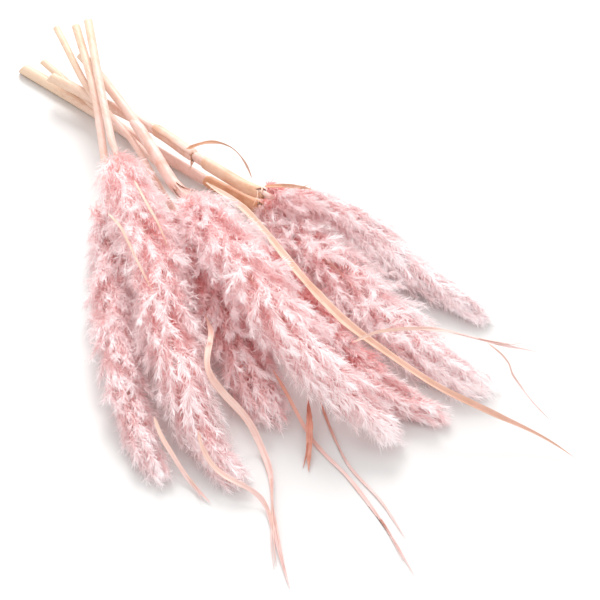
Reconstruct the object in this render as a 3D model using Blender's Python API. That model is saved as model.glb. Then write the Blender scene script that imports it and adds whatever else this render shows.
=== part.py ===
"""A bunch of dyed pampas grass lying on a table: culms, plumes, leaf sheaths and loose leaf blades.

The culms cross near their cut ends and the plumes fan out at the far end. X runs along the bunch
from the cut ends to the plume tips, Z is up, and the origin is on the table under the middle of it.
Everything is laid down in order, each piece on the table or on the pieces already there.
"""

import math

import bpy
import numpy as np

GAP = 0.0003                  # left between pieces that touch
LAY_GAP = 0.0010              # left under a piece that is laid over another
CURVE_STEPS = 40              # steps of the smooth curve between two points of a route
ROUTE_STEP = 0.0015           # spacing of the points along a route
CELL = 0.0015                 # cell of the height map that pieces are laid on
CELLS_ACROSS = 61             # places read across a piece when it is laid
ROUND_SHARE = 0.98            # how much of a piece's roundness counts as it is laid
BED_REACH = (0.42, 0.24)      # half length and half width of that map
CULM_DROOP = 0.7              # how fast a culm falls away from a support, per metre
PLUME_DROOP = 4.0             # the same for a plume
BLADE_DROOP = 20.0            # the same for a leaf blade
SOFTEN = 0.008                # length over which heights are evened out

CULM_SIDES = 10
CULM_RING_STEP = 0.014
CULM_TAPER = 0.80             # thickness at the plume, as a share of that at the cut end
CUT_SLOPE = 0.9               # how far the cut end leans, in thicknesses
SHARP_EDGE = math.radians(50) # edges bent more than this are shaded sharp

PLUME_SIDES = 14
PLUME_RINGS = 17
PLUME_NECK = 0.30             # width at the foot of a plume, as a share of its widest
PLUME_FULL_AT = 0.36          # where along its length a plume is widest
PLUME_END = 0.14              # width at the tip, as a share of its widest
PLUME_FALL = 2.6              # how late the width falls off towards the tip

SHEATH_WALL = 0.0007
SHEATH_FLARE = 0.0008
SHEATH_ROOM = 0.0020          # room that a sheath takes around its culm
SHEATH_EASE = 0.0002          # bore of a sheath beyond the culm and the gap
SHEATH_MARGIN = 0.004         # culm length beside a sheath that is laid as thick as it
SHEATH_END_STATIONS = 3       # route points left between a sheath and its plume

BLADE_THICK = 0.0009
BLADE_START = 0.35            # least width of a blade, as a share of its widest
BLADE_PHASE = 0.15            # how far up its swell a blade starts
BLADE_SWELL = 0.8             # how full that swell is
BLADE_CLEAR = 0.001           # room kept beside a blade as it is laid
BLADE_RING_STEP = 0.007

# Stalks in the order they are laid. Each has its number, counted across the bunch, the culm's
# radius, the plume's half width and half height, the X at which the plume starts, and its
# route over the table from the cut end to the tip.
STALKS = [
    (5, 0.0052, 0.021, 0.016, -0.037,
     [(-0.318, -0.023), (-0.233, 0.003), (-0.110, 0.037), (-0.037, 0.064),
      (0.042, 0.070), (0.116, 0.074), (0.183, 0.085), (0.231, 0.106)]),
    (7, 0.0030, 0.017, 0.014, -0.001,
     [(-0.311, -0.008), (-0.243, 0.000), (-0.112, 0.018), (-0.001, 0.032),
      (0.069, 0.027), (0.129, 0.026), (0.181, 0.033), (0.229, 0.065)]),
    (6, 0.0048, 0.015, 0.014, -0.031,
     [(-0.273, -0.016), (-0.226, 0.002), (-0.165, 0.028), (-0.118, 0.038), (-0.064, 0.055),
      (-0.026, 0.070), (-0.002, 0.088), (0.028, 0.104), (0.092, 0.124), (0.157, 0.147)]),
    (3, 0.0031, 0.026, 0.018, -0.052,
     [(-0.335, 0.018), (-0.226, -0.001), (-0.156, 0.002), (-0.105, -0.002), (-0.052, -0.005),
      (0.008, -0.017), (0.063, -0.029), (0.109, -0.039), (0.155, -0.047), (0.187, -0.047)]),
    (4, 0.0043, 0.027, 0.021, -0.044,
     [(-0.269, 0.012), (-0.207, 0.013), (-0.148, 0.009), (-0.089, 0.003), (-0.044, 0.001),
      (0.024, -0.008), (0.089, -0.013), (0.145, -0.010), (0.188, 0.002), (0.235, 0.020)]),
    (1, 0.0037, 0.020, 0.017, -0.082,
     [(-0.299, 0.022), (-0.213, -0.003), (-0.163, -0.021), (-0.124, -0.036), (-0.100, -0.047),
      (-0.045, -0.071), (0.006, -0.094), (0.057, -0.114), (0.105, -0.131), (0.149, -0.140),
      (0.183, -0.142)]),
    (2, 0.0038, 0.023, 0.020, -0.122,
     [(-0.292, 0.031), (-0.209, 0.001), (-0.156, -0.017), (-0.122, -0.028), (-0.075, -0.039),
      (-0.027, -0.049), (0.026, -0.066), (0.075, -0.083), (0.110, -0.092), (0.145, -0.099),
      (0.182, -0.101), (0.212, -0.096)]),
]

# Leaf sheaths that still wrap a culm: name, stalk, and the X where it starts and ends.
SHEATHS = [
    ("leaf_sheath_4", 4, -0.165, -0.062),
    ("leaf_sheath_5", 5, -0.103, -0.041),
    ("leaf_sheath_6_lower", 6, -0.169, -0.111),
    ("leaf_sheath_6_upper", 6, -0.109, -0.034),
]

# Leaf blades in the order they are laid: name, the stalk it is laid just before (or None for
# on top of all), half width, and points (x, y, least height).
BLADES = [
    ("leaf_long_thin", 4, 0.0014,
     [(0.139, -0.031, 0.002), (0.172, -0.031, 0.002), (0.210, -0.029, 0.001),
      (0.240, -0.026, 0.001), (0.289, -0.028, 0.001), (0.338, -0.034, 0.001)]),
    ("leaf_thin", 4, 0.0011,
     [(0.163, -0.005, 0.001), (0.196, -0.014, 0.001), (0.230, -0.020, 0.001),
      (0.269, -0.018, 0.001), (0.308, -0.022, 0.001)]),
    ("leaf_red", 4, 0.0026,
     [(0.157, -0.012, 0.003), (0.187, -0.028, 0.003), (0.202, -0.037, 0.003),
      (0.220, -0.048, 0.001)]),
    ("leaf_curl", None, 0.0022,
     [(-0.104, 0.026, 0.034), (-0.098, 0.036, 0.042), (-0.090, 0.045, 0.050),
      (-0.075, 0.053, 0.052), (-0.056, 0.055, 0.046), (-0.042, 0.053, 0.034)]),
    ("leaf_short", None, 0.0018,
     [(-0.040, 0.062, 0.030), (-0.033, 0.071, 0.034), (-0.024, 0.078, 0.034),
      (-0.007, 0.088, 0.026)]),
    ("leaf_cream_1", None, 0.0010,
     [(-0.052, -0.068, 0.003), (-0.023, -0.071, 0.003), (0.003, -0.076, 0.003),
      (0.031, -0.081, 0.003), (0.061, -0.085, 0.003)]),
    ("leaf_cream_2", None, 0.0010,
     [(-0.070, -0.036, 0.003), (-0.032, -0.043, 0.003), (-0.003, -0.048, 0.003),
      (0.023, -0.054, 0.003)]),
    ("leaf_low_left", None, 0.0018,
     [(0.135, -0.125, 0.003), (0.152, -0.128, 0.003), (0.169, -0.127, 0.003),
      (0.194, -0.124, 0.003), (0.212, -0.121, 0.001)]),
    ("leaf_low_middle", None, 0.0020,
     [(0.166, -0.106, 0.003), (0.182, -0.110, 0.003), (0.202, -0.107, 0.003),
      (0.230, -0.090, 0.003), (0.270, -0.102, 0.001)]),
    ("leaf_ribbon", None, 0.0028,
     [(0.072, -0.049, 0.003), (0.095, -0.057, 0.003), (0.115, -0.070, 0.003),
      (0.133, -0.080, 0.003), (0.152, -0.077, 0.003), (0.173, -0.066, 0.003),
      (0.206, -0.071, 0.003), (0.242, -0.089, 0.003), (0.274, -0.102, 0.002),
      (0.306, -0.112, 0.001)]),
    ("leaf_folded", None, 0.0034,
     [(-0.077, 0.029, 0.024), (-0.033, 0.037, 0.028), (0.006, 0.037, 0.030),
      (0.065, 0.034, 0.032), (0.124, 0.035, 0.034), (0.161, 0.042, 0.034),
      (0.217, 0.058, 0.032), (0.247, 0.082, 0.020), (0.276, 0.107, 0.010),
      (0.304, 0.122, 0.002)]),
    ("leaf_wavy", None, 0.0015,
     [(0.156, 0.024, 0.030), (0.160, 0.040, 0.044), (0.170, 0.057, 0.050),
      (0.185, 0.081, 0.050), (0.205, 0.112, 0.038), (0.221, 0.147, 0.024)]),
    ("leaf_wavy_side", None, 0.0008,
     [(0.207, 0.108, 0.003), (0.224, 0.115, 0.030), (0.231, 0.113, 0.026),
      (0.251, 0.117, 0.014), (0.268, 0.125, 0.001)]),
]

COLOURS = {
    "culm": (0.93, 0.76, 0.60),
    "plume": (0.85, 0.52, 0.53),
    "sheath": (0.90, 0.66, 0.52),
    "blade": (0.90, 0.72, 0.56),
}
ROUGHNESS = {"culm": 0.5, "plume": 0.9, "sheath": 0.6, "blade": 0.6}


def clear_scene():
    for old in list(bpy.data.objects):
        bpy.data.objects.remove(old, do_unlink=True)


def make_material(name, kind):
    material = bpy.data.materials.new(name)
    material.use_nodes = True
    shader = material.node_tree.nodes["Principled BSDF"]
    shader.inputs["Base Color"].default_value = (*COLOURS[kind], 1.0)
    shader.inputs["Roughness"].default_value = ROUGHNESS[kind]
    shader.inputs["Metallic"].default_value = 0.0
    return material


def make_object(name, kind, points, faces):
    mesh = bpy.data.meshes.new(name)
    mesh.from_pydata([tuple(p) for p in points], [], faces)
    mesh.materials.append(make_material(name, kind))
    mesh.shade_smooth()
    mesh.set_sharp_from_angle(angle=SHARP_EDGE)
    piece = bpy.data.objects.new(name, mesh)
    bpy.context.collection.objects.link(piece)
    return piece


def smooth_route(points):
    """Even points, ROUTE_STEP apart, on a Catmull-Rom curve through the given points."""
    knots = np.array(points, float)
    knots = np.vstack([2 * knots[0] - knots[1], knots, 2 * knots[-1] - knots[-2]])
    share = np.linspace(0, 1, CURVE_STEPS, endpoint=False)[:, None]
    pieces = []
    for a, b, c, d in zip(knots, knots[1:], knots[2:], knots[3:]):
        pieces.append(0.5 * (2 * b + (c - a) * share + (2 * a - 5 * b + 4 * c - d) * share**2
                             + (3 * b - a - 3 * c + d) * share**3))
    curve = np.vstack([*pieces, knots[-2:-1]])
    along = lengths(curve)
    even = np.linspace(0, along[-1], int(along[-1] / ROUTE_STEP) + 2)
    return np.column_stack([np.interp(even, along, curve[:, k]) for k in range(curve.shape[1])])


def lengths(curve):
    """Distance along the table from the start of a route to each of its points."""
    steps = np.linalg.norm(np.diff(curve[:, :2], axis=0), axis=1)
    return np.concatenate([[0.0], np.cumsum(steps)])


def sideways(route):
    """Level unit vectors square to the route, pointing to its left."""
    run = np.gradient(route[:, :2], axis=0)
    run /= np.linalg.norm(run, axis=1)[:, None]
    return np.column_stack([-run[:, 1], run[:, 0]])


class Bed:
    """Height map of the table and what has been laid on it."""

    def __init__(self):
        shape = [int(2 * reach / CELL) for reach in BED_REACH]
        self.top = np.zeros(shape)

    def cells(self, route, half_width):
        """Grid places across the route at each point, with their share of the half width."""
        share = np.linspace(-1, 1, CELLS_ACROSS)
        spots = (route[:, None, :2]
                 + sideways(route)[:, None, :] * (share[None, :] * half_width[:, None])[..., None])
        places = ((spots + BED_REACH) / CELL).astype(int)
        return places[..., 0], places[..., 1], share

    def height_needed(self, route, half_width, half_height):
        """Least height of the route's centre that clears everything below it."""
        across, up, share = self.cells(route, half_width)
        spread = self.top.copy()
        for shift in (-1, 1):
            spread = np.maximum(spread, np.roll(self.top, shift, 0))
        for shift in (-1, 1):
            spread = np.maximum(spread, np.roll(spread, shift, 1))
        below = spread[across, up]
        below = np.where(below > 0, below + LAY_GAP, 0)
        drop = half_height[:, None] * np.sqrt(1 - share[None, :]**2 * ROUND_SHARE)
        return (below + drop).max(axis=1)

    def add(self, route, height, half_width, half_height):
        across, up, share = self.cells(route, half_width)
        rise = height[:, None] + half_height[:, None] * np.sqrt(1 - share[None, :]**2 * ROUND_SHARE)
        np.maximum.at(self.top, (across, up), rise)


def settle(needed, route, droop):
    """The lowest smooth height that clears the needed one and falls away from each support
    no faster than a stem of that springiness would. A larger droop is a limper stem."""
    along = lengths(route)
    height = np.max(needed[None, :] - droop[None, :] * (along[:, None] - along[None, :])**2, axis=1)
    reach = int(3 * SOFTEN / ROUTE_STEP)
    weights = np.exp(-0.5 * (np.arange(-reach, reach + 1) * ROUTE_STEP / SOFTEN)**2)
    padded = np.pad(height, reach, mode="reflect", reflect_type="odd")
    return np.convolve(padded, weights / weights.sum(), "valid")


def sweep(name, kind, rings):
    """A closed body over rings of points, each with the same count, with flat end caps."""
    sides = len(rings[0])
    faces = [list(range(sides))[::-1]]
    for k in range(len(rings) - 1):
        for i in range(sides):
            j = (i + 1) % sides
            faces.append([k * sides + i, k * sides + j, (k + 1) * sides + j, (k + 1) * sides + i])
    last = (len(rings) - 1) * sides
    faces.append([last + i for i in range(sides)])
    return make_object(name, kind, np.vstack(rings), faces)


def ring(centre, side, half_width, half_height, sides):
    """An upright oval of points, counted from the left over the top as seen along the route."""
    turn = -np.arange(sides) * 2 * math.pi / sides
    across = np.cos(turn) * half_width
    points = np.zeros((sides, 3))
    points[:, :2] = centre[:2] + across[:, None] * side
    points[:, 2] = centre[2] - np.sin(turn) * half_height
    return points


def plume_fullness(share):
    """Width of a plume along its length, as a share of its widest."""
    rise = PLUME_NECK + (1 - PLUME_NECK) * np.sin(0.5 * math.pi * np.minimum(share / PLUME_FULL_AT, 1))
    fall = np.clip((share - PLUME_FULL_AT) / (1 - PLUME_FULL_AT), 0, 1)
    return rise * (1 - (1 - PLUME_END) * fall**PLUME_FALL)


def lay_stalk(bed, number, culm_radius, plume_width, plume_height, plume_start, points):
    """Lay one stalk on the bed and return its route with heights, and where its plume starts."""
    route = smooth_route(points)
    along = lengths(route)
    foot = int(np.argmax(route[:, 0] >= plume_start))
    culm = culm_radius * (1 - (1 - CULM_TAPER) * along / along[foot])
    for _, owner, start, end in SHEATHS:
        if owner == number:
            culm = np.where((route[:, 0] > start - SHEATH_MARGIN)
                            & (route[:, 0] < end + SHEATH_MARGIN), culm + SHEATH_ROOM, culm)
    full = plume_fullness((along - along[foot]) / (along[-1] - along[foot]))
    in_plume = np.arange(len(route)) >= foot
    half_width = np.where(in_plume, plume_width * full, culm)
    half_height = np.where(in_plume, plume_height * full, culm)
    droop = np.where(in_plume, PLUME_DROOP, CULM_DROOP)
    height = settle(bed.height_needed(route, half_width, half_height), route, droop)
    bed.add(route, height, half_width, half_height)
    return np.column_stack([route, height]), foot


def ring_stations(route, first, last, spacing):
    count = max(2, int(round((lengths(route)[last] - lengths(route)[first]) / spacing)) + 1)
    return np.unique(np.linspace(first, last, count).astype(int))


def build_culm(number, radius, route, foot):
    side = sideways(route)
    along = lengths(route)
    last = foot - 1
    rings = []
    for k in ring_stations(route, 0, last, CULM_RING_STEP):
        thick = radius * (1 - (1 - CULM_TAPER) * along[k] / along[foot])
        rings.append(ring(route[k], side[k], thick, thick, CULM_SIDES))
    run = np.array([side[0][1], -side[0][0]])
    lean = (rings[0][:, 2] - route[0][2]) * CUT_SLOPE
    rings[0][:, :2] += lean[:, None] * run
    sweep(f"culm_{number}", "culm", rings)


def build_plume(number, half_width, half_height, route, foot):
    side = sideways(route)
    last = len(route) - 1
    rings = []
    for share in np.linspace(0, 1, PLUME_RINGS):
        k = int(round(foot + (last - foot) * share))
        full = float(plume_fullness(np.array([share]))[0])
        rings.append(ring(route[k], side[k], half_width * full, half_height * full, PLUME_SIDES))
    sweep(f"plume_{number}", "plume", rings)


def build_sheath(name, radius, route, foot, start, end):
    """A thin open tube around the culm, a little wider at the end where the leaf left it."""
    first = int(np.argmax(route[:, 0] >= start))
    last = min(int(np.argmax(route[:, 0] >= end)), foot - SHEATH_END_STATIONS)
    side = sideways(route)
    along = lengths(route)
    stations = ring_stations(route, first, last, CULM_RING_STEP)
    outer, inner = [], []
    for k in stations:
        culm = radius * (1 - (1 - CULM_TAPER) * along[k] / along[foot])
        share = (along[k] - along[first]) / (along[last] - along[first])
        bore = culm + GAP + SHEATH_EASE + SHEATH_FLARE * share**3
        inner.append(ring(route[k], side[k], bore, bore, CULM_SIDES))
        outer.append(ring(route[k], side[k], bore + SHEATH_WALL, bore + SHEATH_WALL, CULM_SIDES))
    loops = outer + inner[::-1]
    faces = []
    for k in range(len(loops)):
        n = (k + 1) % len(loops)
        for i in range(CULM_SIDES):
            j = (i + 1) % CULM_SIDES
            faces.append([k * CULM_SIDES + i, k * CULM_SIDES + j,
                          n * CULM_SIDES + j, n * CULM_SIDES + i])
    make_object(name, "sheath", np.vstack(loops), faces)


def build_blade(bed, name, half_width, points):
    """A thin leaf, widest a third of the way along, laid over what is there."""
    route = smooth_route(points)
    share = lengths(route) / lengths(route)[-1]
    phase = np.clip(BLADE_PHASE + (1 - BLADE_PHASE) * share, 0, 1)
    widths = half_width * (BLADE_START + (1 - BLADE_START) * np.sin(math.pi * phase)**BLADE_SWELL)
    thick = np.full(len(route), BLADE_THICK / 2)
    needed = bed.height_needed(route, widths + BLADE_CLEAR, thick)
    height = settle(np.maximum(needed, route[:, 2]), route, np.full(len(route), BLADE_DROOP))
    bed.add(route, height, widths, thick)
    laid = np.column_stack([route[:, :2], height])
    side = sideways(laid)
    rings = [ring(laid[k], side[k], widths[k], BLADE_THICK / 2, 4)
             for k in ring_stations(laid, 0, len(laid) - 1, BLADE_RING_STEP)]
    sweep(name, "blade", rings)


def main():
    clear_scene()
    bed = Bed()
    for number, culm_radius, plume_width, plume_height, plume_start, points in STALKS:
        for name, before, half_width, places in BLADES:
            if before == number:
                build_blade(bed, name, half_width, places)
        route, foot = lay_stalk(bed, number, culm_radius, plume_width, plume_height,
                                plume_start, points)
        build_culm(number, culm_radius, route, foot)
        build_plume(number, plume_width, plume_height, route, foot)
        for name, owner, start, end in SHEATHS:
            if owner == number:
                build_sheath(name, culm_radius, route, foot, start, end)
    for name, before, half_width, places in BLADES:
        if before is None:
            build_blade(bed, name, half_width, places)


main()
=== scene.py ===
import math

import bpy
import numpy as np
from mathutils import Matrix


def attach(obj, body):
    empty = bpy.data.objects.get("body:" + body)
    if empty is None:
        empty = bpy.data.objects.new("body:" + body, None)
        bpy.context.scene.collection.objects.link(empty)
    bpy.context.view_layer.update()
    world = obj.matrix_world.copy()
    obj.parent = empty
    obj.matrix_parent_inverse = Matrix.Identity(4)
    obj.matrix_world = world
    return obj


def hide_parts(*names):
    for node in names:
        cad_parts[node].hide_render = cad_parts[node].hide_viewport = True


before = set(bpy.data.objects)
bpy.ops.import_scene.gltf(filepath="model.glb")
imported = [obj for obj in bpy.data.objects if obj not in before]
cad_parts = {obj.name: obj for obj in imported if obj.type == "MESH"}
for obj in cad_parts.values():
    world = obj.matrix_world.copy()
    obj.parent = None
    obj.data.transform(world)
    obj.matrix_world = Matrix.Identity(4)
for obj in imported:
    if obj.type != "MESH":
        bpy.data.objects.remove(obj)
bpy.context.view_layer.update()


# Culms. The straight dry stems of the grass, hollow and cut on the slant, each running on as a
# thin stalk inside its plume. They were dipped in dye plume first, so the far ends stay cream.

CULM_NUMBERS = (1, 2, 3, 4, 5, 6, 7)
CULM_CUTS = 60                # cuts across the plain culm that its route is read from
CULM_SIDES = 40
CULM_RINGS = 240
CULM_WALL = 0.0011
CULM_RIBS = 26
CULM_RIB_HEIGHT = 0.00006
END_INSET = 0.0006            # how far inside a solid's ends its first and last cuts lie
CUT_SLOPE = 0.6               # how far the cut end leans, in radii
CUT_STATIONS = 2              # cuts that catch only part of the slanted end
RIM_BEVEL = 0.00015
RIM_BACK = 0.0002
KNOT_AT = 0.30                # place of the knot, as a share of the whole stalk
KNOT_SWELL = 0.09
KNOT_LENGTH = 0.0022
NECK_PAST_KNOT = 0.004
NECK_DEPTH = 0.05
NECK_LENGTH = 0.002
STALK_CUTS = 40
STALK_IN_PLUME = 0.8          # how far the stalk runs on inside its plume
STALK_STARTS_AT = 0.9         # its thickness at the plume's foot, as a share of the culm's
STALK_TIP = 0.0005
DYE_LINE_X = -0.225
DYE_FADE = 0.10
FLOOR_CLEAR = 0.0006          # no piece reaches lower than this
MAP_MARGIN = 0.02             # left free at each edge of a piece's map
TUBE_SHARE = 0.98             # how much of its band of the map a tube fills
CAP_PLACE = 0.01
CAP_LENGTH = 0.008
CAP_WIDTH = 0.4
MIX_FIRST, MIX_SECOND, MIX_RESULT = 6, 7, 2      # the colour sockets of a mix node


def route_through(node, stations):
    """The middle line of a long solid, with its half width and half height, cut by cut along X."""
    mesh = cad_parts[node].data
    corners = np.empty(len(mesh.vertices) * 3)
    mesh.vertices.foreach_get("co", corners)
    corners = corners.reshape(-1, 3)
    ends = np.empty(len(mesh.edges) * 2, np.int32)
    mesh.edges.foreach_get("vertices", ends)
    start, stop = corners[ends[0::2]], corners[ends[1::2]]
    low_x, high_x = corners[:, 0].min(), corners[:, 0].max()
    rows = []
    for x in np.linspace(low_x + END_INSET, high_x - END_INSET, stations):
        crossed = (start[:, 0] - x) * (stop[:, 0] - x) < 0
        share = (x - start[crossed, 0]) / (stop[crossed, 0] - start[crossed, 0])
        spots = start[crossed] + (stop[crossed] - start[crossed]) * share[:, None]
        low, high = spots.min(axis=0), spots.max(axis=0)
        rows.append([x, *((low + high) / 2)[1:], *((high - low) / 2)[1:]])
    rows = np.array(rows)
    centre = rows[:, :3]
    run = np.gradient(centre, axis=0)
    lean = run[:, 0] / np.hypot(run[:, 0], run[:, 1])
    return centre, rows[:, 3] * lean, rows[:, 4]


def evenly(values, along, count):
    """Rows of values read at even steps along a route."""
    marks = np.linspace(along[0], along[-1], count)
    flat = values.reshape(len(values), -1)
    read = np.column_stack([np.interp(marks, along, flat[:, k]) for k in range(flat.shape[1])])
    return read.reshape((count,) + values.shape[1:])


def arc(points):
    """Distance along a line of points."""
    return np.concatenate([[0.0], np.cumsum(np.linalg.norm(np.diff(points, axis=0), axis=1))])


def soften(values, reach):
    """A running average that keeps the ends in place."""
    flat = values.reshape(len(values), -1)
    weights = np.hanning(2 * reach + 3)[1:-1]
    weights /= weights.sum()
    padded = np.pad(flat, ((reach, reach), (0, 0)), mode="reflect", reflect_type="odd")
    done = np.column_stack([np.convolve(padded[:, k], weights, "valid")
                            for k in range(flat.shape[1])])
    return done.reshape(values.shape)


def directions(centre):
    """Unit vectors along a route, level to its left, and square to both."""
    along = np.gradient(centre, axis=0)
    along /= np.linalg.norm(along, axis=1)[:, None]
    left = np.cross([0.0, 0.0, 1.0], along)
    left /= np.linalg.norm(left, axis=1)[:, None]
    return along, left, np.cross(along, left)


def tube_piece(name, tubes, material):
    """One mesh of closed tubes, each given as rings of points, with a map that runs along it.

    Each tube has its own band of the map, and its two end caps lie as ovals at the band's ends.
    """
    corners, faces, spots = [], [], []
    first = 0
    for tube, rings in enumerate(tubes):
        rings = np.dstack([rings[..., :2], np.maximum(rings[..., 2], FLOOR_CLEAR)])
        rows, columns = rings.shape[:2]
        row = np.arange(rows - 1)[:, None] * columns
        column = np.arange(columns)[None, :]
        following = (column + 1) % columns
        quads = np.stack([row + column, row + columns + column,
                          row + columns + following, row + following], axis=-1)
        along = np.broadcast_to(np.arange(rows - 1)[:, None] / (rows - 1), quads.shape[:2])
        across = np.broadcast_to(np.arange(columns)[None, :] / columns, quads.shape[:2])
        next_along, next_across = along + 1 / (rows - 1), across + 1 / columns
        marks = np.stack([np.stack([along, across], -1), np.stack([next_along, across], -1),
                          np.stack([next_along, next_across], -1),
                          np.stack([along, next_across], -1)], axis=-2)
        marks[..., 1] = (marks[..., 1] * TUBE_SHARE + tube) / len(tubes)
        corners.append(rings.reshape(-1, 3))
        faces += (quads.reshape(-1, 4) + first).tolist()
        spots.append(marks.reshape(-1, 2) * (1 - 2 * MAP_MARGIN) + MAP_MARGIN)
        turn = np.arange(columns) * 2 * math.pi / columns
        last_ring = (rows - 1) * columns
        for base, way, edge in ((0, 1, CAP_PLACE), (last_ring, -1, 1 - CAP_PLACE)):
            faces.append([first + base + k for k in range(columns)][::way])
            round_cap = np.column_stack([edge + CAP_LENGTH * np.cos(turn),
                                         (tube + 0.5 + CAP_WIDTH * np.sin(turn)) / len(tubes)])
            spots.append(round_cap[::way])
        first += rows * columns
    mesh = bpy.data.meshes.new(name)
    mesh.from_pydata(np.concatenate(corners).tolist(), [], faces)
    layer = mesh.uv_layers.new(name="OFBake")
    layer.data.foreach_set("uv", np.concatenate(spots).ravel())
    mesh.materials.append(material)
    mesh.shade_smooth()
    piece = bpy.data.objects.new(name, mesh)
    bpy.context.scene.collection.objects.link(piece)
    return piece


def stands_for(piece, node):
    """Put a piece on the bunch's one body, in place of a plain solid."""
    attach(piece, "root")
    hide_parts(node)


def new_material(name):
    """A new material, with its node tree and its surface shader."""
    material = bpy.data.materials.new(name)
    material.use_nodes = True
    tree = material.node_tree
    return material, tree, tree.nodes["Principled BSDF"]


def remapped(tree, value, source, target=(0.0, 1.0)):
    """A node's number moved from the source range to the target range."""
    node = tree.nodes.new("ShaderNodeMapRange")
    node.inputs["From Min"].default_value, node.inputs["From Max"].default_value = source
    node.inputs["To Min"].default_value, node.inputs["To Max"].default_value = target
    tree.links.new(value, node.inputs["Value"])
    return node.outputs[0]


def noise(tree, place, scale, detail):
    """Soft random spots over a surface."""
    node = tree.nodes.new("ShaderNodeTexNoise")
    node.inputs["Scale"].default_value = scale
    node.inputs["Detail"].default_value = detail
    tree.links.new(place, node.inputs["Vector"])
    return node.outputs["Fac"]


def mixed(tree, amount, first, second):
    """A colour between first and second, each a fixed colour or a node's colour."""
    node = tree.nodes.new("ShaderNodeMix")
    node.data_type = "RGBA"
    tree.links.new(amount, node.inputs[0])
    for socket, colour in ((node.inputs[MIX_FIRST], first), (node.inputs[MIX_SECOND], second)):
        if isinstance(colour, tuple):
            socket.default_value = (*colour, 1)
        else:
            tree.links.new(colour, socket)
    return node.outputs[MIX_RESULT]


def add_fibres(tree, base, place, stretch, detail, blotches, shown, colour, most, roughness, bump):
    """Finish dry grass: fine streaks along it, broken up by blotches, rough and slightly raised."""
    shader = tree.nodes["Principled BSDF"]
    stretched = tree.nodes.new("ShaderNodeMapping")
    stretched.inputs["Scale"].default_value = stretch
    tree.links.new(place, stretched.inputs["Vector"])
    fibre = noise(tree, stretched.outputs[0], 1.0, detail)
    around = tree.nodes.new("ShaderNodeTexCoord").outputs["Object"]
    both = tree.nodes.new("ShaderNodeMath")
    both.operation = "MULTIPLY"
    tree.links.new(fibre, both.inputs[0])
    tree.links.new(noise(tree, around, blotches, 4.0), both.inputs[1])
    amount = remapped(tree, both.outputs[0], shown, (0.0, most))
    tree.links.new(mixed(tree, amount, base, colour), shader.inputs["Base Color"])
    tree.links.new(remapped(tree, fibre, (0.0, 1.0), roughness), shader.inputs["Roughness"])
    relief = tree.nodes.new("ShaderNodeBump")
    relief.inputs["Strength"].default_value, relief.inputs["Distance"].default_value = bump
    tree.links.new(fibre, relief.inputs["Height"])
    tree.links.new(relief.outputs[0], shader.inputs["Normal"])


def culm_material(name, cut_end_colour, dyed_colour, streak_colour):
    """Dry grass stem: cream at the cut end, turning to the dyed colour along X."""
    material, tree, _ = new_material(name)
    place = tree.nodes.new("ShaderNodeTexCoord").outputs["Object"]
    split = tree.nodes.new("ShaderNodeSeparateXYZ")
    tree.links.new(place, split.inputs[0])
    dye = remapped(tree, split.outputs["X"],
                   (DYE_LINE_X - DYE_FADE / 2, DYE_LINE_X + DYE_FADE / 2))
    add_fibres(tree, mixed(tree, dye, cut_end_colour, dyed_colour), place,
               stretch=(14, 900, 900), detail=3.0, blotches=55.0, shown=(0.20, 0.42),
               colour=streak_colour, most=0.55, roughness=(0.40, 0.65), bump=(0.35, 0.0002))
    return material


culm_straw = culm_material("culm_straw", (0.76, 0.56, 0.41), (0.81, 0.56, 0.49),
                           (0.62, 0.32, 0.20))


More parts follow.
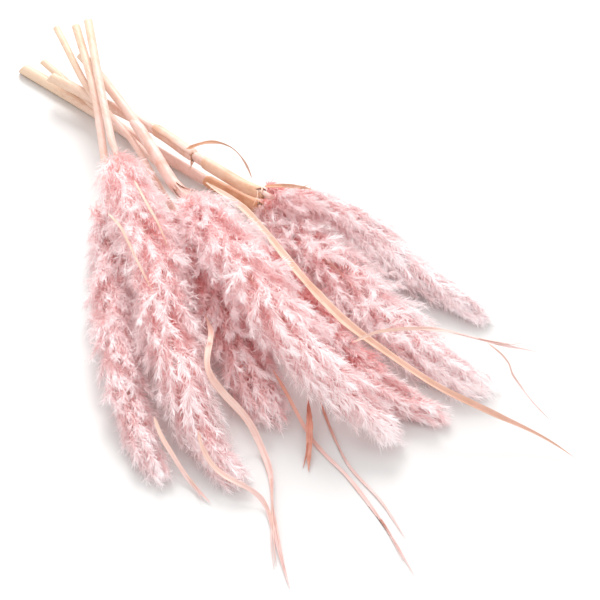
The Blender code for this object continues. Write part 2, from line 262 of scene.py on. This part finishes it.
def build_culm(number):
    """One culm, from its hollow cut end to the tip of its stalk inside the plume."""
    node = f"culm_{number}"
    centre, half_width, half_height = (v[1:] for v in route_through(node, CULM_CUTS))
    half_width[:CUT_STATIONS] = half_width[CUT_STATIONS]
    half_height[:CUT_STATIONS] = half_height[CUT_STATIONS]
    step = (centre[CUT_STATIONS + 3] - centre[CUT_STATIONS]) / 3
    centre[:CUT_STATIONS] = centre[CUT_STATIONS] - step * np.arange(CUT_STATIONS, 0, -1)[:, None]
    radius = soften((half_width + half_height) / 2, 6)
    inside = soften(route_through(f"plume_{number}", STALK_CUTS)[0], 4)
    inside = inside[2:int(STALK_CUTS * STALK_IN_PLUME)]
    centre = soften(np.vstack([soften(centre, 4), inside]), 2)
    thinning = np.linspace(radius[-1] * STALK_STARTS_AT, STALK_TIP, len(inside))
    radius = np.concatenate([radius, thinning])
    along = arc(centre)
    centre, radius = evenly(centre, along, CULM_RINGS), evenly(radius, along, CULM_RINGS)
    run, left, up = directions(centre)
    turn = np.arange(CULM_SIDES) * 2 * math.pi / CULM_SIDES
    from_knot = np.linspace(0, along[-1], CULM_RINGS) - KNOT_AT * along[-1]
    swell = (1 + KNOT_SWELL * np.exp(-(from_knot / KNOT_LENGTH) ** 2)
             - NECK_DEPTH * np.exp(-((from_knot - NECK_PAST_KNOT) / NECK_LENGTH) ** 2))
    ribs = CULM_RIB_HEIGHT * np.cos(CULM_RIBS * turn)
    outer = radius[:, None] * swell[:, None] + ribs[None, :]

    def ring(k, size, depth=0.0):
        return (centre[k] + run[k] * depth + left[k] * (size * np.cos(turn))[:, None]
                + up[k] * (size * np.sin(turn))[:, None])

    slant = (np.sin(turn) * radius[0] * CUT_SLOPE)[:, None] * run[0]
    # The hollow from its bottom to the rim: size, depth, and how much of the slant it follows.
    hollow = ((radius[0] * 0.12, 0.009, 0.0), (radius[0] - CULM_WALL * 1.6, 0.008, 0.0),
              (radius[0] - CULM_WALL * 1.2, 0.003, 0.8), (radius[0] - CULM_WALL, 0.0, 1.0),
              (outer[0] - RIM_BEVEL, 0.0, 1.0))
    inner = [ring(0, size, depth) + slant * share for size, depth, share in hollow]
    rings = [ring(k, outer[k]) for k in range(CULM_RINGS)]
    rings[0] = rings[0] + slant + run[0] * RIM_BACK
    rings[1] = rings[1] + slant * 0.6
    piece = tube_piece(f"{node}_stem", [np.array(inner + rings)], culm_straw)
    stands_for(piece, node)


for number in CULM_NUMBERS:
    build_culm(number)


# Leaf sheaths. The lower part of a leaf is a thin papery tube wrapped round its stem, with the two
# edges overlapping. They dried, split and tore, so each mouth is ragged and brown with torn strips.

SHEATH_CUTS = 30
SHEATH_ROWS = 50
SHEATH_COLUMNS = 44
SHEATH_WALL = 0.0004
SHEATH_LAP = math.radians(50)
SHEATH_LAP_RISE = 0.0007      # how much further out the top edge lies than the edge under it
SHEATH_INSET = 0.0006
SHEATH_FOOT = 0.0009          # how much the sheath draws in where it starts
SHEATH_FOOT_SHARE = 0.1       # share of its length over which it does
SHEATH_TEETH = 10
MOUTH_WAVE = 0.0004
MOUTH_DRAWN_IN = 0.0011
VEINS_ROUND_SHEATH = 26
VEIN_HEIGHT = 0.00007
STRIP_POINTS = 14
STRIP_THICKNESS = 0.0003


def colour_along(tree, value, stops):
    """A colour that follows a node's number through stops, each a place and a colour."""
    node = tree.nodes.new("ShaderNodeValToRGB")
    elements = node.color_ramp.elements
    for k, (place, colour) in enumerate((stops[0], stops[-1])):
        elements[k].position, elements[k].color = place, (*colour, 1)
    for place, colour in stops[1:-1]:
        elements.new(place).color = (*colour, 1)
    tree.links.new(value, node.inputs[0])
    return node.outputs[0]


def leaf_material(name, start_colour, end_colour, vein_colour, rim_colour=None, pale_by=0.75):
    """Dry grass leaf: colour fades from start to end, with fine veins and blotches along it."""
    material, tree, _ = new_material(name)
    sheet_map = tree.nodes.new("ShaderNodeUVMap")
    sheet_map.uv_map = "OFBake"
    split = tree.nodes.new("ShaderNodeSeparateXYZ")
    tree.links.new(sheet_map.outputs[0], split.inputs[0])
    stops = [(0.15, start_colour), (pale_by, end_colour)]
    if rim_colour:
        stops += [(0.945, end_colour), (0.975, rim_colour)]
    add_fibres(tree, colour_along(tree, split.outputs["X"], stops), sheet_map.outputs[0],
               stretch=(6, 70, 1), detail=4.0, blotches=70.0, shown=(0.18, 0.40),
               colour=vein_colour, most=0.8, roughness=(0.38, 0.68), bump=(0.5, 0.0003))
    return material


class Route:
    """A smooth middle line with its frame, read at any distance along it."""

    def __init__(self, centre):
        self.centre = centre
        self.marks = arc(centre)
        self.length = self.marks[-1]
        self.run, self.left, self.up = directions(centre)

    def read(self, values, where):
        """Values that are given at the route's own points, read at other distances along it."""
        flat = values.reshape(len(values), -1)
        got = [np.interp(where, self.marks, flat[:, k]) for k in range(flat.shape[1])]
        return np.stack(got, axis=-1).reshape(where.shape + values.shape[1:])


def strip_rings(points, half_width, side):
    """A thin tapering strip along points, as a closed tube of six-cornered rings."""
    rings = []
    for k, point in enumerate(points):
        run = points[min(k + 1, len(points) - 1)] - points[max(k - 1, 0)]
        run = run / np.linalg.norm(run)
        across = side[k] - run * np.dot(side[k], run)
        across /= np.linalg.norm(across)
        face = np.cross(run, across)
        w, t = half_width[k], STRIP_THICKNESS / 2
        rings.append([point + across * a * w + face * b * t for a, b in
                      ((-1, 0), (-0.4, 1), (0.4, 1), (1, 0), (0.4, -1), (-0.4, -1))])
    return np.array(rings)


# Each sheath's tear is the depth of its ragged mouth, as a share of its length.
SHEATHS = {
    "leaf_sheath_4": dict(tear=0.16, strips=6, strip_size=1.5, look=leaf_material(
        "sheath_pink", (0.81, 0.57, 0.51), (0.82, 0.57, 0.51), (0.66, 0.34, 0.25),
        (0.66, 0.30, 0.15))),
    # Sheath 5's orange-brown is partly its own colour and partly painted shade, the colour its
    # shaded side shows.
    "leaf_sheath_5": dict(tear=0.20, strips=4, look=leaf_material(
        "sheath_orange", (0.70, 0.37, 0.21), (0.77, 0.46, 0.28), (0.58, 0.26, 0.13),
        (0.52, 0.24, 0.12))),
    "leaf_sheath_6_lower": dict(tear=0.10, strips=2, look=leaf_material(
        "sheath_peach", (0.77, 0.49, 0.36), (0.83, 0.58, 0.50), (0.64, 0.34, 0.21),
        (0.58, 0.28, 0.15))),
    "leaf_sheath_6_upper": dict(tear=0.22, strips=5, look=leaf_material(
        "sheath_straw", (0.80, 0.56, 0.43), (0.78, 0.51, 0.35), (0.64, 0.34, 0.20),
        (0.50, 0.25, 0.13))),
}


def build_sheath(node, tear, strips, look, strip_size=1.0):
    """One sheath: a rolled sheet with a ragged mouth, and torn strips at that mouth."""
    rng = np.random.default_rng(sum(map(ord, node)))
    centre, wide, high = (soften(v, 3) for v in route_through(node, SHEATH_CUTS))
    route = Route(centre)
    size = (wide + high) / 2
    start = rng.uniform(0, 2 * math.pi)
    turn = start + np.linspace(0, 2 * math.pi + SHEATH_LAP, SHEATH_COLUMNS)
    teeth = np.interp(np.linspace(0, SHEATH_TEETH - 1, SHEATH_COLUMNS), np.arange(SHEATH_TEETH),
                      rng.uniform(0, 1, SHEATH_TEETH))
    teeth = tear * (0.25 * rng.uniform(0, 1, SHEATH_COLUMNS) + 0.75 * teeth)
    lap = SHEATH_LAP_RISE * (turn - start) / (2 * math.pi + SHEATH_LAP) - SHEATH_INSET
    level = np.linspace(0, 1, SHEATH_ROWS)[:, None]
    where = route.length * (level - teeth[None, :] * level ** 6)
    middle, left, up = (route.read(v, where) for v in (route.centre, route.left, route.up))
    ribs = VEIN_HEIGHT * np.cos(VEINS_ROUND_SHEATH * turn)
    mouth = (MOUTH_WAVE * level ** 10 * np.sin(3 * turn + start)[None, :]
             - MOUTH_DRAWN_IN * level ** 12)
    foot = SHEATH_FOOT * np.clip(1 - level / SHEATH_FOOT_SHARE, 0, 1)
    outer = route.read(size, where) + lap + ribs + mouth - foot
    skins = []
    for radius in (outer, outer - SHEATH_WALL):
        skins.append(middle + left * (radius * np.cos(turn))[..., None]
                     + up * (radius * np.sin(turn))[..., None])
    tubes = [np.concatenate([skins[0], skins[1][:, ::-1]], axis=1)]
    for _ in range(strips):
        column = rng.integers(4, SHEATH_COLUMNS - 4)
        angle = turn[column]
        reach = rng.uniform(0.008, 0.022) * strip_size
        steps = np.linspace(0, 1, STRIP_POINTS)
        away = left[-1, column] * math.cos(angle) + up[-1, column] * math.sin(angle)
        base = skins[0][-4, column]
        swing = rng.normal(0, 0.35, 3)
        path = (base + route.run[-1] * (reach * steps)[:, None]
                + (away * 0.5 + swing) * (reach * steps ** 2 * 0.6)[:, None])
        path[:, 2] -= 0.3 * reach * steps ** 2
        side = np.cross(route.run[-1], away)
        bend = np.radians(rng.uniform(-60, 60)) * steps
        side = side * np.cos(bend)[:, None] + away * np.sin(bend)[:, None]
        half = rng.uniform(0.0004, 0.0011) * strip_size * (1 - 0.9 * steps ** 1.5)
        tubes.append(strip_rings(path, half, side))
    piece = tube_piece(f"{node}_wrap", tubes, look)
    stands_for(piece, node)


for node, kind in SHEATHS.items():
    build_sheath(node, **kind)


# Leaf blades. Long dry ribbons that came loose from the stems, folded along the midrib, twisted as
# they dried and frayed at the ends. They lie on the plumes and trail out over the floor.

BLADE_CUTS = 80
BLADE_STATIONS = 150
BLADE_COLUMNS = 11
BLADE_THICKNESS = 0.00045
BLADE_RIPPLES = 25
NARROW_BLADE = 0.0008         # below this half width a blade gets thinner too
FRAY_STEP = 3                 # a frayed strip takes every third station of its blade

CREAM = leaf_material("blade_cream", (0.80, 0.61, 0.49), (0.78, 0.47, 0.37), (0.66, 0.38, 0.26))
PALE_PINK = leaf_material("blade_pale_pink", (0.83, 0.58, 0.48), (0.84, 0.60, 0.58),
                          (0.72, 0.42, 0.36))
TAN = leaf_material("blade_tan", (0.64, 0.31, 0.18), (0.66, 0.40, 0.30), (0.44, 0.20, 0.11))
RED = leaf_material("blade_red", (0.62, 0.20, 0.13), (0.78, 0.40, 0.31), (0.46, 0.13, 0.08))
FADING = leaf_material("blade_fading", (0.62, 0.26, 0.19), (0.85, 0.60, 0.57), (0.72, 0.42, 0.36),
                       pale_by=0.45)
# The fold along the midrib and the twists are in degrees, the twists from the start of the blade
# to its end. Fray is the number of loose strips, and widths are shares of the blade's own width.
BLADES = {
    "leaf_folded": dict(look=CREAM, fold=38, twists=(0, 8, -5, 10, 0, 30, 20), fray=0),
    "leaf_ribbon": dict(look=PALE_PINK, fold=20, twists=(70, 10, 50, 0, 25, 80, 10, 20), fray=6),
    "leaf_wavy": dict(look=PALE_PINK, fold=25, twists=(0, 70, 20, -40, 30, 0), fray=2),
    "leaf_wavy_side": dict(look=PALE_PINK, fold=10, twists=(0, 60, -30, 20), fray=0),
    "leaf_curl": dict(look=TAN, fold=22, twists=(20, 0, 50, 85, 60, 20), fray=0,
                      widths=(0.9, 1.0, 0.75, 0.35, 0.25, 0.3, 0.8, 0.9)),
    "leaf_short": dict(look=TAN, fold=18, twists=(0, 40, 10), fray=1),
    "leaf_cream_1": dict(look=CREAM, fold=12, twists=(0, 40, 0, 50), fray=0),
    "leaf_cream_2": dict(look=CREAM, fold=12, twists=(20, 0, 40), fray=0),
    "leaf_low_left": dict(look=PALE_PINK, fold=20, twists=(40, 0, 30, 0), fray=2),
    "leaf_low_middle": dict(look=PALE_PINK, fold=20, twists=(50, 10, 40, 0), fray=3),
    "leaf_red": dict(look=RED, fold=25, twists=(20, 0, 40), fray=2,
                     widths=(0.15, 0.6, 1.0, 1.0, 0.8)),
    "leaf_long_thin": dict(look=FADING, fold=15, twists=(0, 50, 0, 60, 10), fray=2),
    "leaf_thin": dict(look=FADING, fold=12, twists=(0, 60, 0, 40), fray=0),
}


def build_blade(node, look, fold, twists, fray, widths=(1.0, 1.0)):
    """One blade: a folded, twisted ribbon, with loose strips frayed from its far end."""
    rng = np.random.default_rng(sum(map(ord, node)))
    centre, wide = (soften(v, 3) for v in route_through(node, BLADE_CUTS)[:2])
    along = arc(centre)
    centre, wide = evenly(centre, along, BLADE_STATIONS), evenly(wide, along, BLADE_STATIONS)
    route = Route(centre)
    share = np.linspace(0, 1, BLADE_STATIONS)
    ripple = np.interp(share, np.linspace(0, 1, BLADE_RIPPLES),
                       rng.uniform(0.88, 1.10, BLADE_RIPPLES))
    point = np.interp(share, [0, 0.05, 0.85, 0.96, 1.0], [0.35, 1.0, 0.95, 0.5, 0.06])
    half = wide * ripple * point * np.interp(share, np.linspace(0, 1, len(widths)), widths)
    twist = np.radians(soften(np.interp(share, np.linspace(0, 1, len(twists)), twists), 6))
    across = route.left * np.cos(twist)[:, None] + route.up * np.sin(twist)[:, None]
    face = np.cross(route.run, across)
    place = np.linspace(-1, 1, BLADE_COLUMNS)
    hollow = np.abs(place) * math.tan(math.radians(fold))
    hollow = hollow - hollow.mean()
    veins = VEIN_HEIGHT * (np.arange(BLADE_COLUMNS) % 2)
    lift = half[:, None] * hollow[None, :]
    thick = BLADE_THICKNESS * (1 - 0.6 * np.abs(place))
    thinner = np.minimum(1, half / NARROW_BLADE)
    skins = []
    for way in (1, -1):
        height = lift + way * (thick / 2 + veins)[None, :] * thinner[:, None]
        skins.append(centre[:, None] + across[:, None] * (half[:, None] * place)[..., None]
                     + face[:, None] * height[..., None])
    tubes = [np.concatenate([skins[0], skins[1][:, ::-1]], axis=1)]
    for _ in range(fray):
        begin = int(BLADE_STATIONS * rng.uniform(0.62, 0.82))
        stop = int(BLADE_STATIONS * rng.uniform(0.90, 0.99))
        drift = np.linspace(0, 1, stop - begin)
        offset = rng.uniform(-0.8, 0.8) * half[begin:stop]
        splay = rng.normal(0, 0.004) * drift ** 1.6
        path = centre[begin:stop] + across[begin:stop] * (offset + splay)[:, None]
        path[:, 2] += 0.0004 + rng.uniform(0, 0.0015) * drift
        thin = rng.uniform(0.0003, 0.0007) * (1 - 0.9 * drift ** 2)
        tubes.append(strip_rings(path[::FRAY_STEP], thin[::FRAY_STEP],
                                 across[begin:stop:FRAY_STEP]))
    piece = tube_piece(f"{node}_strip", tubes, look)
    stands_for(piece, node)


for node, kind in BLADES.items():
    build_blade(node, **kind)


# Plumes. Each is a thin stalk with hundreds of drooping side branches, and every branch carries
# long silky hairs, so it breaks up into soft pointed tufts that lie over one another like tiles.
# The dyed hair runs from rose at the root to nearly white at the ends, and the hairs deep inside a
# plume get a deeper rose, which is painted shade for the gaps between the tufts.

PLUME_CUTS = 90
PLUME_FILLS_BY = 0.014        # distance from its foot by which a plume has filled out
PLUME_NARROWS_OVER = 0.07
PLUME_STARTS_BEFORE = 0.015   # how far before its foot the branches start
BRANCHES_PER_METRE = 1350
BRANCH_POINTS = 9
BRANCH_TURN = 2.39996         # the golden angle, from one branch to the next
DEEP_BRANCHES = 0.30          # share of branches that stay inside the plume
BRANCH_ROOT = 0.10            # share of the way out at which a branch leaves the stalk
SHORTEST_BRANCH = 0.006
BRANCH_SWAY = 0.0035
BRANCH_SAG = 0.0015
HAIRS_PER_PLUME = 39000
HAIR_WIDTH = 0.00042
HAIR_LENGTH = 0.0105
HAIR_STATIONS = 4
HAIR_SAG = 0.0006
LOWEST_HAIRS = 0.003          # height over which the hairs that meet the floor are spread
SPREAD_STEP = 0.618
# Tone is how pale the hair is, from its dye and for plumes 3 and 7 also painted shade, length that
# of the branches, shaggy how far they stray, spread how far they stand out, and pale_tip how much
# paler the tip is than the foot.
PLUMES = {
    1: dict(tone=1.04, length=0.032, shaggy=1.1, spread=0.88),
    2: dict(tone=0.96, length=0.034, shaggy=1.1, spread=1.10, before=0.004),
    # Plume 3 lies under plumes 2 and 4: its lower tone is partly painted shade.
    3: dict(tone=0.82, length=0.034, shaggy=1.1, spread=1.05, before=0.030),
    4: dict(tone=1.02, length=0.036, shaggy=1.2),
    5: dict(tone=0.99, length=0.038, shaggy=1.2, spread=1.34, before=0.028, pale_tip=0.30),
    6: dict(tone=1.10, length=0.044, shaggy=1.3, spread=0.86, before=0.026, pale_tip=0.45),
    # Plume 7 lies low beside plume 5, in its shade: its low tone is partly painted shade.
    7: dict(tone=0.52, length=0.036, shaggy=1.1, spread=1.20, pale_tip=0.40),
}


def plume_material():
    """The map's first number runs root to tip of a hair, the second how pale the hair is: its dye,
    and painted shade that deepens the hairs inside a plume and the plumes lying under others.
    """
    material, tree, shader = new_material("plume_hair")
    strand = tree.nodes.new("ShaderNodeUVMap")
    strand.uv_map = "OFBake"
    split = tree.nodes.new("ShaderNodeSeparateXYZ")
    tree.links.new(strand.outputs[0], split.inputs[0])
    # The deep colours serve the low-toned hairs, so their strong rose is partly dye and partly
    # painted shade.
    deep = ((0.0, (0.84, 0.20, 0.18)), (0.5, (0.95, 0.48, 0.46)), (1.0, (0.98, 0.76, 0.76)))
    pale = ((0.0, (0.97, 0.85, 0.85)), (0.5, (0.985, 0.935, 0.94)), (1.0, (0.99, 0.96, 0.97)))
    deep, pale = (colour_along(tree, split.outputs["X"], stops) for stops in (deep, pale))
    colour = mixed(tree, split.outputs["Y"], deep, pale)
    tree.links.new(colour, shader.inputs["Base Color"])
    shader.inputs["Roughness"].default_value = 0.7
    shader.inputs["Specular IOR Level"].default_value = 0.25
    shader.inputs["Sheen Weight"].default_value = 0.2
    glow = tree.nodes.new("ShaderNodeBsdfTranslucent")
    tree.links.new(colour, glow.inputs[0])
    blend = tree.nodes.new("ShaderNodeMixShader")
    blend.inputs[0].default_value = 0.12
    tree.links.new(shader.outputs[0], blend.inputs[1])
    tree.links.new(glow.outputs[0], blend.inputs[2])
    tree.links.new(blend.outputs[0], tree.nodes["Material Output"].inputs[0])
    return material


plume_hair = plume_material()


def unit(vectors):
    """The same directions with a length of one."""
    return vectors / np.maximum(np.linalg.norm(vectors, axis=-1, keepdims=True), 1e-9)


def hair_piece(name, strands, width, facing, tone):
    """Tapering ribbons as one mesh: strands is hair by station by XYZ, facing the way each shows."""
    count, stations = strands.shape[:2]
    taper = np.interp(np.linspace(0, 1, stations), [0, 0.4, 0.75, 1], [0.75, 1.0, 0.7, 0.1])
    side = unit(np.cross(facing, strands[:, -1] - strands[:, 0]))
    half = (width[:, None] * taper[None, :] / 2)[..., None] * side[:, None, :]
    left, right = strands - half, strands + half
    body = np.stack([left[:, :-1], right[:, :-1]], axis=2).reshape(count, -1, 3)
    points = np.concatenate([body, strands[:, -1:]], axis=1)
    bed = FLOOR_CLEAR + LOWEST_HAIRS * (np.arange(count) * SPREAD_STEP % 1.0)
    points[..., 2] = np.maximum(points[..., 2], bed[:, None])
    per_strand = points.shape[1]
    quads = stations - 2
    corner = []
    for k in range(quads):
        corner += [2 * k, 2 * k + 2, 2 * k + 3, 2 * k + 1]
    corner += [2 * quads, per_strand - 1, 2 * quads + 1]
    loops = (np.arange(count)[:, None] * per_strand + np.array(corner)[None, :]).ravel()
    sizes = np.tile([4] * quads + [3], count)
    mesh = bpy.data.meshes.new(name)
    mesh.vertices.add(count * per_strand)
    mesh.vertices.foreach_set("co", points.ravel())
    mesh.loops.add(len(loops))
    mesh.loops.foreach_set("vertex_index", loops)
    mesh.polygons.add(len(sizes))
    mesh.polygons.foreach_set("loop_start", np.concatenate([[0], np.cumsum(sizes)[:-1]]))
    mesh.polygons.foreach_set("use_smooth", np.ones(len(sizes), bool))
    mesh.update(calc_edges=True)
    level = np.linspace(MAP_MARGIN, 1 - MAP_MARGIN, stations)
    across = np.concatenate([np.tile([-0.006, 0.006], stations - 1), [0.0]])
    lengthwise = np.concatenate([np.repeat(level[:-1], 2), level[-1:]])
    spots = np.empty((count, per_strand, 2))
    spots[..., 0] = lengthwise[None, :]
    spots[..., 1] = np.clip(tone, MAP_MARGIN, 1 - MAP_MARGIN)[:, None] + across[None, :]
    layer = mesh.uv_layers.new(name="OFBake")
    layer.data.foreach_set("uv", spots.reshape(-1, 2)[loops].ravel())
    mesh.materials.append(plume_hair)
    piece = bpy.data.objects.new(name, mesh)
    bpy.context.scene.collection.objects.link(piece)
    return piece


class Plume(Route):
    """The run of one plume read from its solid: its middle line and its half sizes."""

    def __init__(self, node):
        centre, wide, high = (soften(v, 4) for v in route_through(node, PLUME_CUTS))
        super().__init__(centre)
        places = [0, PLUME_FILLS_BY, self.length - PLUME_NARROWS_OVER, self.length]
        filling = np.interp(self.marks, places, [0.56, 0.92, 0.80, 0.24])
        self.wide = np.maximum(wide, filling * wide.max())
        self.high = np.maximum(high, filling * high.max() * 0.8)

    def spot(self, where, turn, reach):
        """A point of the plume: distance along it, turn round it, and share of the way out."""
        beyond = np.maximum(where - self.length, 0)
        before = np.minimum(where, 0)
        wide = self.read(self.wide, where) * np.cos(turn) * reach
        high = self.read(self.high, where) * np.sin(turn) * reach
        return (self.read(self.centre, where) + self.read(self.left, where) * wide[..., None]
                + self.read(self.up, where) * high[..., None]
                + self.run[-1] * beyond[..., None] + self.run[0] * before[..., None])


def build_plume(number, tone, length, shaggy, spread=1.0, before=PLUME_STARTS_BEFORE,
                pale_tip=0.0):
    """One plume: its side branches as lines of points, then the hairs along each of them."""
    node = f"plume_{number}"
    rng = np.random.default_rng(100 + number)
    plume = Plume(node)
    branches = int(BRANCHES_PER_METRE * plume.length)
    order = (np.arange(branches) + rng.random(branches)) / branches
    start = plume.length * 0.93 * order - before
    room = plume.length - start + rng.uniform(-0.006, 0.001, branches)
    branch_length = np.minimum(length * rng.uniform(0.75, 1.2, branches), room - 0.004)
    branch_length = np.maximum(branch_length, SHORTEST_BRANCH)
    turn = np.arange(branches) * BRANCH_TURN + rng.normal(0, 0.25, branches)
    deep = rng.random(branches) < DEEP_BRANCHES
    out = np.where(deep, rng.uniform(0.45, 0.8, branches), rng.uniform(0.85, 1.12, branches))
    out *= spread
    steps = np.linspace(0, 1, BRANCH_POINTS)[None, :]
    where = start[:, None] + branch_length[:, None] * steps * 0.95
    reach = BRANCH_ROOT + (out[:, None] - BRANCH_ROOT) * steps ** 0.62
    drift = turn[:, None] + rng.normal(0, 0.30 * shaggy, branches)[:, None] * steps ** 2
    path = plume.spot(where, drift, reach)
    sway = unit(rng.normal(size=(branches, 3)))
    path += sway[:, None, :] * (BRANCH_SWAY * shaggy * steps ** 2)[..., None]
    path[..., 2] -= BRANCH_SAG * steps ** 2

    pick = np.repeat(np.arange(branches), HAIRS_PER_PLUME // branches)
    total = len(pick)
    at = 0.08 + 0.92 * rng.random(total) ** 0.8
    slot = at * (BRANCH_POINTS - 1)
    low = np.minimum(slot.astype(int), BRANCH_POINTS - 2)
    part = (slot - low)[:, None]
    root = path[pick, low] * (1 - part) + path[pick, low + 1] * part
    flow = unit(path[pick, low + 1] - path[pick, low])
    fan = unit(np.cross(flow, rng.normal(size=(total, 3))))
    lean = np.radians(58 - 22 * at) * rng.uniform(0.3, 1.4, total)
    first = flow * np.cos(lean)[:, None] + fan * np.sin(lean)[:, None]
    hair_length = HAIR_LENGTH * rng.uniform(0.65, 1.25, total) * (1 - 0.25 * at)
    middle = root + first * (hair_length * 0.5)[:, None]
    settled = unit(first * 0.72 + flow * 0.36 + rng.normal(0, 0.20, (total, 3)))
    tip = root + settled * hair_length[:, None]
    tip[:, 2] -= HAIR_SAG
    share = np.linspace(0, 1, HAIR_STATIONS)[None, :, None]
    strands = (root[:, None] * (1 - share) ** 2 + 2 * middle[:, None] * share * (1 - share)
               + tip[:, None] * share ** 2)
    core = plume.read(plume.centre, np.clip(where[pick, low], 0, plume.length))
    outward = unit(root - core)
    facing = unit(outward * 0.9 + fan * 0.50 + rng.normal(0, 0.12, (total, 3)))
    level = reach[pick, low]
    # Tone: the plume's own, random per branch and per hair, deeper the nearer a hair's branch point
    # lies to the plume's middle (painted shade), paler out along the branch and towards the plume's
    # tip.
    hair_tone = (tone + rng.normal(0, 0.09, branches)[pick] + rng.normal(0, 0.05, total)
                 + 0.80 * (level - 0.82) + 0.20 * (at - 0.5)
                 + pale_tip * (where[pick, low] / plume.length - 0.5))
    width = HAIR_WIDTH * rng.uniform(0.7, 1.3, total)
    piece = hair_piece(f"{node}_hair", strands, width, facing, hair_tone)
    stands_for(piece, node)


for number, kind in PLUMES.items():
    build_plume(number, **kind)


# Surroundings. A matt pale table top in a white studio, with one wide soft lamp high on the side
# of the cut ends. The camera looks down over the plume tips towards that lamp, so the bunch is
# lit from behind and above.

FLOOR_REACH = 6
STUDIO_LIGHT = 1.14
KEY_PLACE = (-2.80, 1.30, 2.40)
KEY_SIZE = 1.9
KEY_POWER = 118
VIEW_DOWN = math.radians(42)
VIEW_HEADING = math.radians(60)
VIEW_DISTANCE = 1.60
AIM = (0.059, 0.038)
SENSOR_WIDTH = 36.0
LENS_LENGTH = 125.22

sheet = bpy.data.meshes.new("floor")
sheet.from_pydata([(-FLOOR_REACH, -FLOOR_REACH, 0), (FLOOR_REACH, -FLOOR_REACH, 0),
                   (FLOOR_REACH, FLOOR_REACH, 0), (-FLOOR_REACH, FLOOR_REACH, 0)],
                  [], [(0, 1, 2, 3)])
floor_white, _, floor_shader = new_material("floor_white")
floor_shader.inputs["Base Color"].default_value = (0.70, 0.69, 0.68, 1)
floor_shader.inputs["Roughness"].default_value = 0.6
sheet.materials.append(floor_white)
floor = bpy.data.objects.new("floor", sheet)
bpy.context.scene.collection.objects.link(floor)

world = bpy.data.worlds.new("studio")
bpy.context.scene.world = world
world.use_nodes = True
world.node_tree.nodes["Background"].inputs["Color"].default_value = (1.0, 1.0, 1.0, 1)
world.node_tree.nodes["Background"].inputs["Strength"].default_value = STUDIO_LIGHT

lamp = bpy.data.lights.new("key", "AREA")
lamp.shape = "DISK"
lamp.size = KEY_SIZE
lamp.energy = KEY_POWER
key = bpy.data.objects.new("key", lamp)
key.location = KEY_PLACE
key.rotation_euler = (math.atan2(math.hypot(KEY_PLACE[0], KEY_PLACE[1]), KEY_PLACE[2]), 0,
                      math.atan2(-KEY_PLACE[0], KEY_PLACE[1]) + math.pi)
bpy.context.scene.collection.objects.link(key)

lens = bpy.data.cameras.new("camera")
lens.sensor_width = SENSOR_WIDTH
lens.lens = LENS_LENGTH
camera = bpy.data.objects.new("camera", lens)
back = VIEW_DISTANCE * math.cos(VIEW_DOWN)
camera.location = (AIM[0] + back * math.sin(VIEW_HEADING), AIM[1] - back * math.cos(VIEW_HEADING),
                   VIEW_DISTANCE * math.sin(VIEW_DOWN))
camera.rotation_euler = (math.pi / 2 - VIEW_DOWN, 0, VIEW_HEADING)
bpy.context.scene.collection.objects.link(camera)
bpy.context.scene.camera = camera
bpy.context.scene.view_settings.view_transform = "Standard"
bpy.context.scene.cycles.max_bounces = 24
bpy.context.scene.cycles.diffuse_bounces = 16
